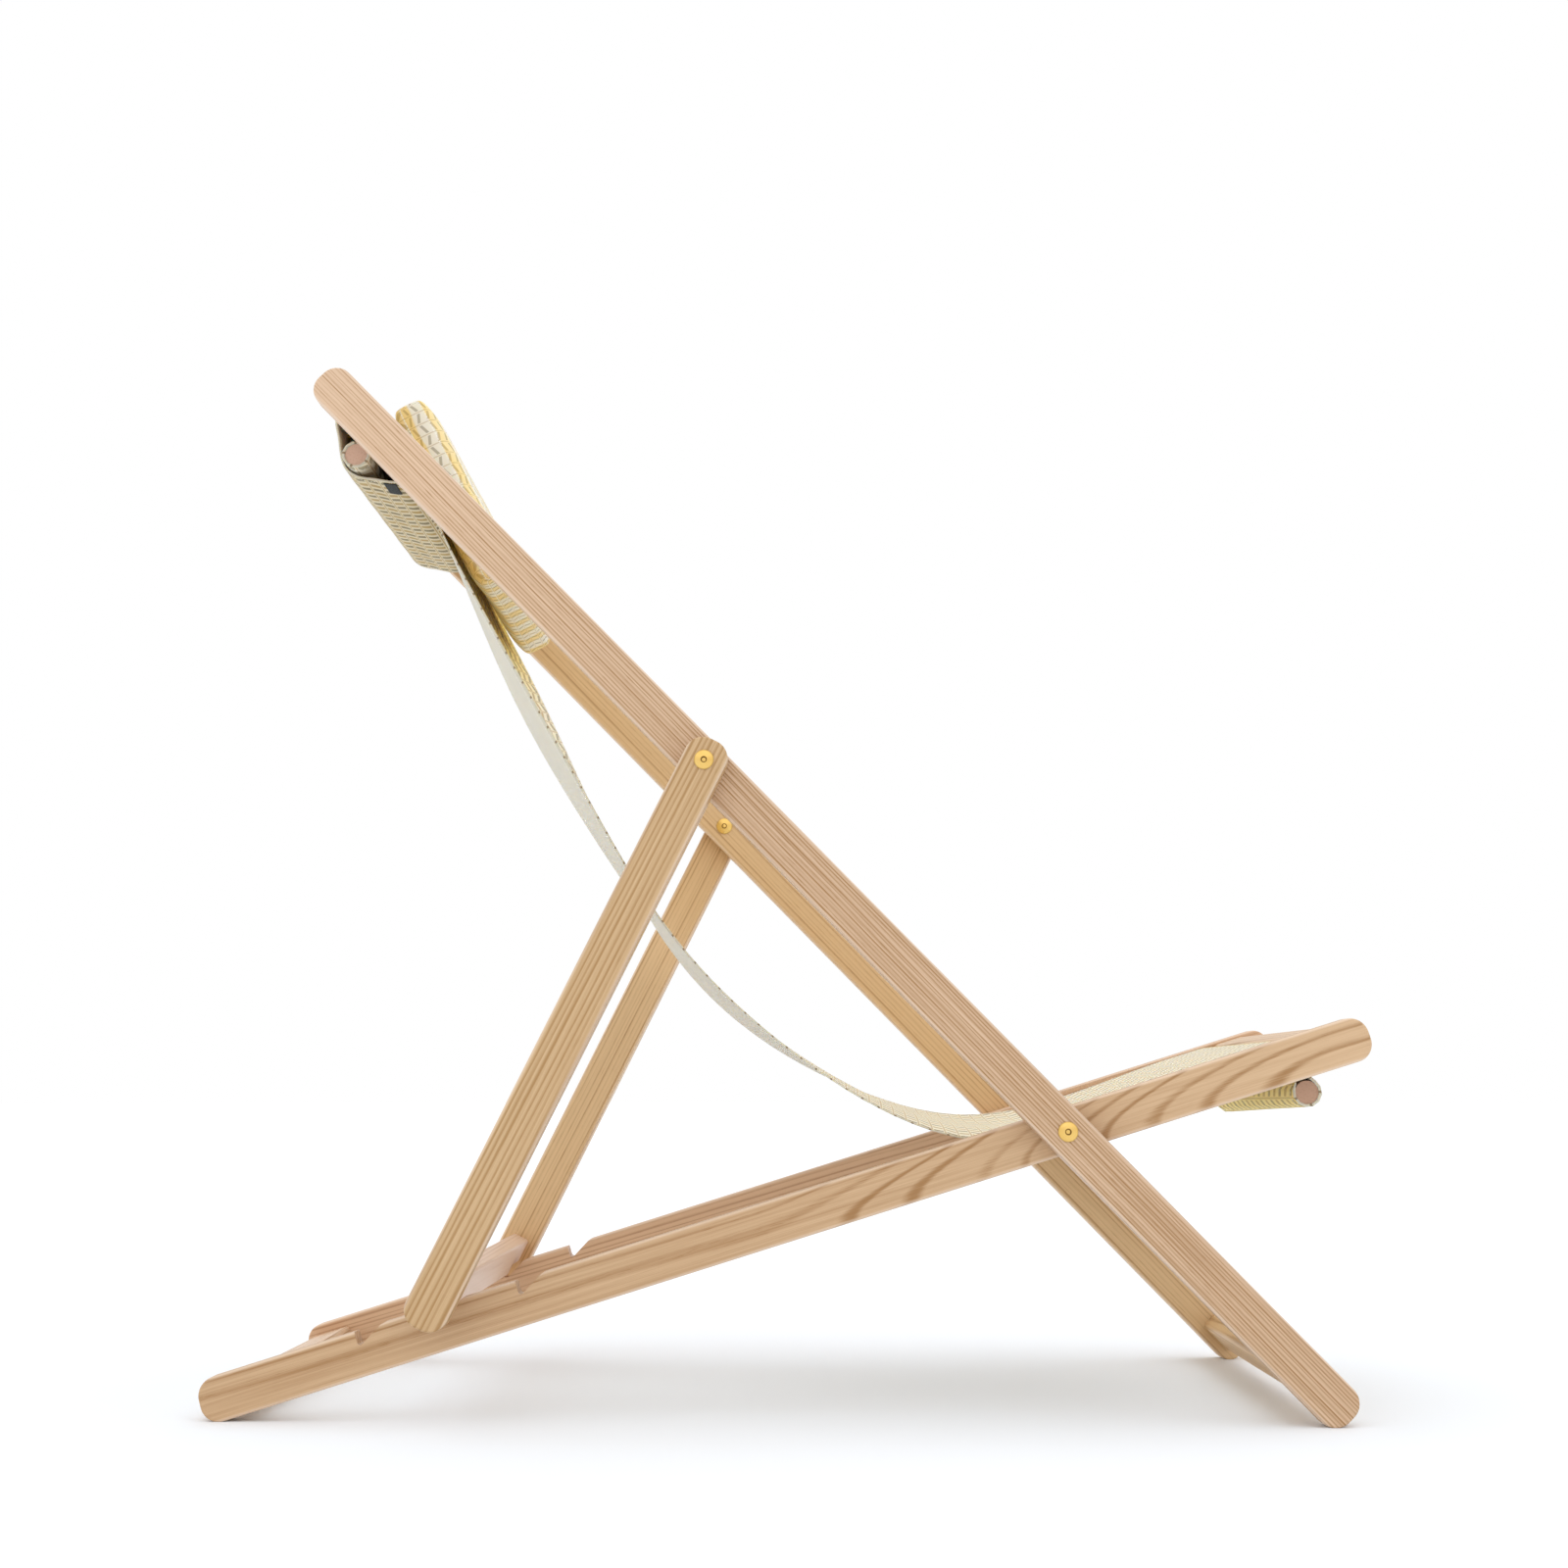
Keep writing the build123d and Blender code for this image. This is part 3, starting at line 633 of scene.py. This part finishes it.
def seat_point(along, across):
    """A point of the seat frame's side view, as x and z."""
    return np.array([back_pivot.x + along * math.cos(seat_slope) - across * math.sin(seat_slope),
                     back_pivot.z + along * math.sin(seat_slope) + across * math.cos(seat_slope)])


def back_point(along, across):
    """A point of the back frame's side view, as x and z; across is rearwards."""
    return np.array([back_pivot.x - along * math.cos(back_slope) - across * math.sin(back_slope),
                     back_pivot.z + along * math.sin(back_slope) - across * math.cos(back_slope)])


def smooth_line(knots, first_slope, last_slope, steps=14):
    """A clamped cubic curve through the knots."""
    knots = np.array(knots, float)
    lengths = np.linalg.norm(np.diff(knots, axis=0), axis=1)
    count = len(knots)
    system = np.eye(count)
    wanted = np.zeros((count, 2))
    wanted[0], wanted[-1] = first_slope, last_slope
    for i in range(1, count - 1):
        before, after = lengths[i - 1], lengths[i]
        system[i, i - 1:i + 2] = 1 / before, 2 / before + 2 / after, 1 / after
        wanted[i] = 3 * ((knots[i] - knots[i - 1]) / before ** 2 + (knots[i + 1] - knots[i]) / after ** 2)
    slopes = np.linalg.solve(system, wanted)
    line = []
    for i in range(count - 1):
        for t in np.linspace(0, 1, steps, endpoint=False):
            chord = (2 * t ** 3 - 3 * t ** 2 + 1) * knots[i] + (3 * t ** 2 - 2 * t ** 3) * knots[i + 1]
            swing = (t ** 3 - 2 * t ** 2 + t) * slopes[i] + (t ** 3 - t ** 2) * slopes[i + 1]
            line.append(chord + lengths[i] * swing)
    return line + [knots[-1]]


def hem_loop(frame_point, rod_along, rod_across, neck_across, steps=30):
    """Round a rod from one side of the neck to the other, in a frame's own side view."""
    toward = math.copysign(1, neck_across - rod_across)
    half_open = math.acos(loop_radius / abs(neck_across - rod_across))
    turn = np.linspace(half_open, 2 * math.pi - half_open, steps)
    return [frame_point(rod_along + loop_radius * math.sin(t),
                        rod_across + toward * loop_radius * math.cos(t)) for t in turn]


def sling_line():
    """The side view of the strip, from the hem behind the top bars to the hem under the front ones.

    With it come the rows where the hanging cloth, the loops' necks and the hems begin or end.
    """
    ply = cloth / 2 + ply_gap
    top_lead = top_slot - slot_half - bar_width + bar_lead
    front_lead = front_slot - slot_half - bar_width + bar_lead
    start, end = back_point(top_lead, board_front), seat_point(front_lead, board_top)
    run = end - start
    down = np.array([run[1], -run[0]])
    hang = smooth_line([start] + [start + share * run + drop * down for share, drop in sling_hang] + [end],
                       (math.cos(sling_top_slope), -math.sin(sling_top_slope)),
                       (math.cos(seat_slope), math.sin(seat_slope)))
    top_hem = [back_point(top_slot - ply, across) for across in (top_hem_edge, top_slot_end)]
    front_hem = [seat_point(front_slot - ply, across) for across in (front_slot_end, front_hem_edge)]
    top = top_hem + hem_loop(back_point, top_slot, top_rod_back, neck)[::-1]
    top += [back_point(top_slot + ply + step, across) for step, across in top_turn]
    front = [seat_point(front_slot + ply + step, across) for step, across in front_turn]
    front += hem_loop(seat_point, front_slot, -front_rod_drop, -neck) + front_hem
    hang_rows = (len(top), len(top) + len(hang) - 1)
    neck_rows = (hang_rows[0] - len(top_turn), hang_rows[1] + len(front_turn))
    hem_rows = (len(top_hem), -1 - len(front_hem))
    return np.array(top + hang + front), hang_rows, neck_rows, hem_rows


def lengths_along(path):
    return np.concatenate([[0], np.cumsum(np.linalg.norm(np.diff(path, axis=0), axis=1))])


sling_path, hang_rows, neck_rows, hem_rows = sling_line()
sling_marks = lengths_along(sling_path)
sling_length = float(sling_marks[-1])
hang_start, hang_end = [sling_marks[row] for row in hang_rows]
top_neck, front_neck = [sling_marks[row] for row in neck_rows]
top_hem_end, front_hem_start = [sling_marks[row] for row in hem_rows]
print("sling cut to", sling_width, "by", round(sling_length, 3))


# %% Lay a grid along the line
def strip_grid(name, columns, rows):
    """A flat grid with a UV map, and each vertex's shares of the way across it and along it."""
    bpy.ops.object.select_all(action="DESELECT")
    bpy.ops.mesh.primitive_grid_add(x_subdivisions=columns, y_subdivisions=rows, size=1)
    piece = bpy.context.object
    piece.name = name
    shares = np.array([v.co[:2] for v in piece.data.vertices]) + 0.5
    return piece, shares


def place_vertices(piece, places):
    piece.data.vertices.foreach_set("co", np.asarray(places, np.float32).ravel())
    piece.data.update()


def metric_uv(piece, uv):
    """Sets the UV map from one pair in metres for each vertex."""
    layer = piece.data.uv_layers.active.data
    corners = np.zeros(len(piece.data.loops), np.int32)
    piece.data.loops.foreach_get("vertex_index", corners)
    layer.foreach_set("uv", np.asarray(uv, np.float32)[corners].ravel())


def apply_modifiers(piece):
    bpy.ops.object.select_all(action="DESELECT")
    piece.select_set(True)
    bpy.context.view_layer.objects.active = piece
    for modifier in list(piece.modifiers):
        bpy.ops.object.modifier_apply(modifier=modifier.name)


def thicken(piece, thin, thick, share, face, reverse):
    """Thickness for a sheet: thin where share is 0, thick where it is 1, with a face and a reverse."""
    for material in (face, reverse):
        piece.data.materials.append(material)
    group = piece.vertex_groups.new(name="doubled")
    for number, weight in enumerate(share):
        group.add([number], float(weight), "REPLACE")
    shell = piece.modifiers.new("thickness", "SOLIDIFY")
    shell.thickness = thick
    shell.offset = 0
    shell.vertex_group = group.name
    shell.thickness_vertex_group = thin / thick
    shell.material_offset = 1
    shell.material_offset_rim = 1
    apply_modifiers(piece)
    piece.vertex_groups.clear()
    bpy.ops.object.shade_smooth()


def lift_at(knots, share):
    """A smooth curve through shares of the hanging length and how far the cloth stands off there."""
    line = np.array(smooth_line(knots, (1, 0), (1, 0)))
    return np.interp(share, line[:, 0], line[:, 1])


# the hanging cloth cups and twists: at shares of its length, how far it stands off the side view's line,
# towards the sitter
right_edge_lift = [(0, 0), (0.15, 0.008), (0.42, 0.007), (0.58, 0), (0.78, -0.014), (1, 0)]
middle_lift = [(0, 0), (0.20, -0.013), (0.50, -0.001), (0.85, -0.003), (1, 0)]
left_edge_lift = [(0, 0), (0.14, 0.008), (0.32, -0.004), (0.60, -0.005), (0.80, 0.007), (1, 0)]
# the front sleeve hangs lower towards its left end, from a share of the loop's radius above the rod's middle
sleeve_droop = 0.011
droop_from = 0.3
sleeve_start = 0.02  # past the hanging cloth's end

sling, shares = strip_grid("canvas_sling", columns=36, rows=220)
at = shares[:, 1] * sling_length
side = 1 - 2 * shares[:, 0]
share = np.clip((at - hang_start) / (hang_end - hang_start), 0, 1)
edge_lift = np.where(side < 0, lift_at(right_edge_lift, share), lift_at(left_edge_lift, share))
stand_off = lift_at(middle_lift, share) * (1 - side ** 2) + edge_lift * side ** 2
ways = np.gradient(sling_path, sling_marks, axis=0)
ways = ways / np.linalg.norm(ways, axis=1)[:, None]
x = np.interp(at, sling_marks, sling_path[:, 0]) - stand_off * np.interp(at, sling_marks, ways[:, 1])
z = np.interp(at, sling_marks, sling_path[:, 1]) + stand_off * np.interp(at, sling_marks, ways[:, 0])
above_seat = (z - back_pivot.z) * math.cos(seat_slope) - (x - back_pivot.x) * math.sin(seat_slope)
below_rod = (-front_rod_drop - above_seat) / loop_radius
on_sleeve = np.clip((below_rod + droop_from) / (1 + droop_from), 0, 1) * (at > hang_end + sleeve_start)
droop = on_sleeve * sleeve_droop * (1 + side) / 2
x = x + droop * math.sin(seat_slope)
z = z - droop * math.cos(seat_slope)
place_vertices(sling, np.stack([x, side * sling_width / 2, z], axis=1))
metric_uv(sling, np.stack([shares[:, 0] * sling_width, at], axis=1))
print("sling rows laid, cupped by up to", round(float(np.ptp(stand_off)), 4))

# %% [markdown]
# The strip gets its thickness from a Solidify modifier, which can also give the second side another material:
# the printed face and the bare reverse. Round the rods the cloth is folded double, so a vertex group makes it
# thicker there.

# %% Thickness, face and reverse
fold_clear, fold_ease = 0.006, 0.010  # past the loop's neck
sling_hems = (("u", 0.0), ("u", sling_width))
# painted glow: a deeper gold behind the pillow stands in for light shining through the cloth into the shaded
# gap
glow_behind_pillow = (0.11, 0.15, 0.26, 0.40, 1.0)
gold_on_sleeve = (hang_end + 0.03, hang_end + 0.05, sling_length, sling_length + 0.01, 0.7)

past_neck = np.minimum(np.abs(at - top_neck), np.abs(front_neck - at))
in_loop = (at < top_neck) | (at > front_neck)
in_hem = (at < top_hem_end) | (at > front_hem_start)
doubled = np.where(in_loop & ~in_hem, np.clip((past_neck - fold_clear) / fold_ease, 0, 1), 0.0)
sling_face = canvas("canvas_print", large_stroke_pitch, face_cream, hems=sling_hems, ink_share=0.6,
                    row_line=0.41, gold_runs=(glow_behind_pillow, gold_on_sleeve))
sling_reverse = canvas("canvas_reverse", None, reverse_cream, hems=sling_hems)
thicken(sling, cloth, loop_cloth, doubled, sling_face, sling_reverse)
print("sling faces", len(sling.data.polygons))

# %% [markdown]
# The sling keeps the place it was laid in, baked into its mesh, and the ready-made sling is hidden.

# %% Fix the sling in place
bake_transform(sling)
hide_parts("sling")

# %% [markdown]
# ## The pillow
#
# The headrest's pillow is a boxed one: two panels joined by a narrow strip all round. It starts as a box
# with rounded edges, a little smaller than the finished pillow, and is then filled with Blender's cloth
# pressure, so the panels crown, the sides pull in and the corners stay firm, as on a real one.

# %% A rounded box with a metric UV map
pillow_width, pillow_length, pillow_depth = 0.394, 0.233, 0.036
pillow_round = 0.013
pillow_tilt = math.radians(16.8)
pillow_middle = (0.9478, -0.0180)  # along and across the back frame
boxing_cuts = 7

pillow, shares = strip_grid("head_pillow_cover", columns=64, rows=32)
flat = np.stack([(shares[:, 0] - 0.5) * pillow_width, (shares[:, 1] - 0.5) * pillow_length,
                 np.zeros(len(shares))], axis=1)
place_vertices(pillow, flat)
box = pillow.modifiers.new("box", "SOLIDIFY")
box.thickness = pillow_depth
box.offset = 0
apply_modifiers(pillow)
bpy.ops.object.mode_set(mode="EDIT")
bpy.ops.mesh.select_all(action="DESELECT")
bpy.ops.object.mode_set(mode="OBJECT")
corners = pillow.data.vertices
for edge in pillow.data.edges:
    first, last = edge.vertices
    edge.select = corners[first].co.z * corners[last].co.z < 0
bpy.ops.object.mode_set(mode="EDIT")
bpy.ops.mesh.select_mode(type="EDGE")
bpy.ops.mesh.subdivide_edgering(number_cuts=boxing_cuts, interpolation="LINEAR")
bpy.ops.mesh.select_all(action="SELECT")
bpy.ops.mesh.normals_make_consistent(inside=False)
bpy.ops.object.mode_set(mode="OBJECT")
print("pillow box", len(pillow.data.polygons), "faces")

# %% Its print runs over the edges on to the boxing strip
half_box = np.array([pillow_width, pillow_length, pillow_depth]) / 2
facing = 0.7  # least share of a normal on the boxing strip
pillow_uv = pillow.data.uv_layers.active.data
for polygon in pillow.data.polygons:
    normal = polygon.normal
    for corner in polygon.loop_indices:
        spot = corners[pillow.data.loops[corner].vertex_index].co
        fold = half_box[2] - spot.z
        u, v = spot.x, spot.y
        if abs(normal.x) > facing:
            u = math.copysign(half_box[0] + fold, normal.x)
        elif abs(normal.y) > facing:
            v = math.copysign(half_box[1] + fold, normal.y)
        pillow_uv[corner].uv = (u, v)
spots = np.array([v.co for v in corners])
core = np.clip(spots, pillow_round - half_box, half_box - pillow_round)
rest = spots - core
size = np.linalg.norm(rest, axis=1, keepdims=True)
rounded = core + np.where(size > 0, rest / np.maximum(size, 1e-9) * pillow_round, 0)
place_vertices(pillow, rounded)
print("pillow edges rounded to", pillow_round)

# %% Fill it
pillow_cap = 0.007  # furthest that the filling may push the cloth
fill_pressure = 4.0
fill_frames = 20
filling = pillow.modifiers.new("filling", "CLOTH")
filling.settings.use_pressure = True
filling.settings.uniform_pressure_force = fill_pressure
filling.settings.effector_weights.gravity = 0
filling.settings.tension_stiffness = 40
filling.settings.compression_stiffness = 20
filling.settings.bending_stiffness = 0.5
filling.settings.quality = 8
for step in range(1, fill_frames + 1):
    scene.frame_set(step)
apply_modifiers(pillow)
moved = np.array([v.co for v in pillow.data.vertices]) - rounded
reach = np.linalg.norm(moved, axis=1, keepdims=True)
filled = rounded + moved * np.minimum(1, pillow_cap / np.maximum(reach, 1e-9))
print("pillow after filling", np.round(filled.max(0) - filled.min(0), 4))

# %% Sew it in place before the top bars
way_down = (-math.cos(pillow_tilt), math.sin(pillow_tilt))
middle_at = back_point(*pillow_middle)
down = back_point(pillow_middle[0] + way_down[0], pillow_middle[1] + way_down[1]) - middle_at
forward = np.array([-down[1], down[0]])
spots = middle_at[None, :] - filled[:, 1:2] * down[None, :] + filled[:, 2:3] * forward[None, :]
place_vertices(pillow, np.stack([spots[:, 0], filled[:, 0], spots[:, 1]], axis=1))
bpy.ops.object.select_all(action="DESELECT")
pillow.select_set(True)
bpy.context.view_layer.objects.active = pillow
bpy.ops.object.mode_set(mode="EDIT")
bpy.ops.mesh.select_all(action="SELECT")
bpy.ops.mesh.normals_make_consistent(inside=False)
bpy.ops.object.mode_set(mode="OBJECT")
soften = pillow.modifiers.new("soften", "SUBSURF")
soften.levels = soften.render_levels = 1
apply_modifiers(pillow)
bpy.ops.object.shade_smooth()
pillow_seams = [(axis, sign * half) for axis, half in zip("uv", half_box) for sign in (-1, 1)]
pillow.data.materials.append(canvas("canvas_pillow", small_stroke_pitch, hems=pillow_seams, stitch_inset=0.0,
                                    stroke_share=0.30, ink_share=0.4, striped=True))
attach(pillow, "back_frame")
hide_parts("head_pillow")
print("pillow sewn")

# %% [markdown]
# ## The wrap
#
# A doubled canvas wrap is sewn to the pillow's rear. It goes up before the top bar, over it, round the rod's
# sewn loop, forward again to the lower bar's rear face and under that bar, so the pillow stays where it is
# put. It is made as the sling is, from a grid laid along its side view.

# %% The wrap's line
wrap_width = 0.390
wrap_cloth = 0.0024
wrap_hem = 0.0044
wrap_gap, wrap_rise = 0.0005, 0.0055  # clear of the rod's loop, and above the top bar's edge
# places along and across the back frame
wrap_sewn_at, wrap_leaves = (1.0370, -0.0205), (1.0620, -0.0118)
wrap_hem_at = (top_slot - 0.0512, 0.0015)
round_rod = [(58, 0.0006), (80, 0), (102, 0), (122, 0.0009), (138, 0.0024)]  # degrees, and slack there


def wrap_line():
    """Middle line of the wrap from the pillow's rear to its hem."""
    ring = loop_radius + loop_cloth / 2 + wrap_gap + wrap_cloth / 2
    over = top_slot + slot_half + bar_width + wrap_rise
    places = [wrap_sewn_at, wrap_leaves, (over - 0.004, -0.0088), (over, -0.0035),
              (over + 0.0003, 0.0080), (over - 0.003, 0.0165), (over - 0.018, 0.0278)]
    for degrees, slack in round_rod:
        turn = np.radians(degrees)
        reach = ring + slack
        places.append((top_slot + reach * math.cos(turn), top_rod_back + reach * math.sin(turn)))
    places += [(top_slot - 0.027, top_rod_back + 0.0040), (top_slot - 0.046, 0.0208),
               (top_slot - 0.0508, 0.0130), wrap_hem_at]
    knots = np.array([back_point(*place) for place in places])
    ways = [knots[1] - knots[0], knots[-1] - knots[-2]]
    return np.array(smooth_line(knots, *[way / np.linalg.norm(way) for way in ways], steps=8))


wrap_path = wrap_line()
wrap_marks = lengths_along(wrap_path)
wrap_length = float(wrap_marks[-1])
# the wrap is slack between these lengths from its two ends, most at its right edge, with small waves
slack_from, slack_until, slack_ease = 0.118, 0.030, 0.02
slack_fall, slack_wave, waves = 0.0008, 0.0003, 14


def wrap_place(at, side):
    """The wrap's middle surface, a little slack under the rod, as x and z."""
    slack = (np.clip((at - slack_from) / slack_ease, 0, 1)
             * np.clip((wrap_length - slack_until - at) / slack_ease, 0, 1))
    fall = slack * (slack_fall - slack_fall * side + slack_wave * np.sin(side * waves))
    return np.interp(at, wrap_marks, wrap_path[:, 0]), np.interp(at, wrap_marks, wrap_path[:, 1]) - fall


wrap, shares = strip_grid("head_wrap_cover", columns=48, rows=96)
at = shares[:, 1] * wrap_length
side = 2 * shares[:, 0] - 1
x, z = wrap_place(at, side)
place_vertices(wrap, np.stack([x, side * wrap_width / 2, z], axis=1))
metric_uv(wrap, np.stack([shares[:, 0] * wrap_width, at], axis=1))
print("wrap", wrap_width, "by", round(wrap_length, 3))

# %% Thickness, and where it is sewn
wrap_hem_deep, wrap_hem_ease = 0.010, 0.003
wrap_hems = (("u", 0.0), ("u", wrap_width), ("v", wrap_length))
in_hem = np.clip((at - (wrap_length - wrap_hem_deep)) / wrap_hem_ease, 0, 1)
wrap_face = canvas("canvas_wrap", small_stroke_pitch, wrap_cream, hems=wrap_hems, stitch_inset=0.006,
                   stroke_share=0.54, ink_share=0.85)
wrap_reverse = canvas("canvas_wrap_reverse", None, reverse_cream)
thicken(wrap, wrap_cloth, wrap_hem, in_hem, wrap_face, wrap_reverse)
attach(wrap, "back_frame")
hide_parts("head_wrap")
print("wrap faces", len(wrap.data.polygons))

# %% [markdown]
# ## A ribbon tab
#
# A short piece of dark ribbon is sewn under the wrap beside its edge, to pull it off by. It is plain, with
# only the fine ribs of its own weave.


# %% Dark ribbon
rib_pitch = 0.0007


def ribbon():
    material, shader, place = new_material("dark_ribbon", place="UV", Specular_IOR_Level=0.25)
    ribs = (place.along((1, 0, 0)) / rib_pitch).zigzag()
    grain = place.noise(300.0, 2.0)
    drive(shader, "Base Color", (ribs * 0.5 + grain * 0.5).mix(linear(40, 42, 42), linear(62, 64, 62)))
    drive(shader, "Roughness", 0.6 + ribs * 0.25)
    drive_bump(shader, ribs, depth=0.0002, strength=0.6)
    return material


tab_span = (-0.193, -0.155)  # from side to side
tab_thickness = 0.0008
tab_gap = 0.0005
tab_first, tab_last = wrap_length - 0.0320, wrap_length - 0.0190
tab, shares = strip_grid("ribbon_tab", columns=16, rows=8)
at = tab_first + shares[:, 1] * (tab_last - tab_first)
ways = np.gradient(wrap_path, wrap_marks, axis=0)
way_x = np.interp(at, wrap_marks, ways[:, 0])
way_z = np.interp(at, wrap_marks, ways[:, 1])
off = wrap_cloth / 2 + tab_thickness / 2 + tab_gap
outward = np.stack([way_z, -way_x], axis=1) / np.hypot(way_x, way_z)[:, None]
y = tab_span[0] + shares[:, 0] * (tab_span[1] - tab_span[0])
x, z = wrap_place(at, 2 * y / wrap_width)
place_vertices(tab, np.stack([x + off * outward[:, 0], y, z + off * outward[:, 1]], axis=1))
metric_uv(tab, shares * (tab_span[1] - tab_span[0], tab_last - tab_first))
thicken(tab, tab_thickness, tab_thickness, np.ones(len(shares)), ribbon(), ribbon())
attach(tab, "back_frame")
print("ribbon tab", [round(v, 3) for v in tab.dimensions])
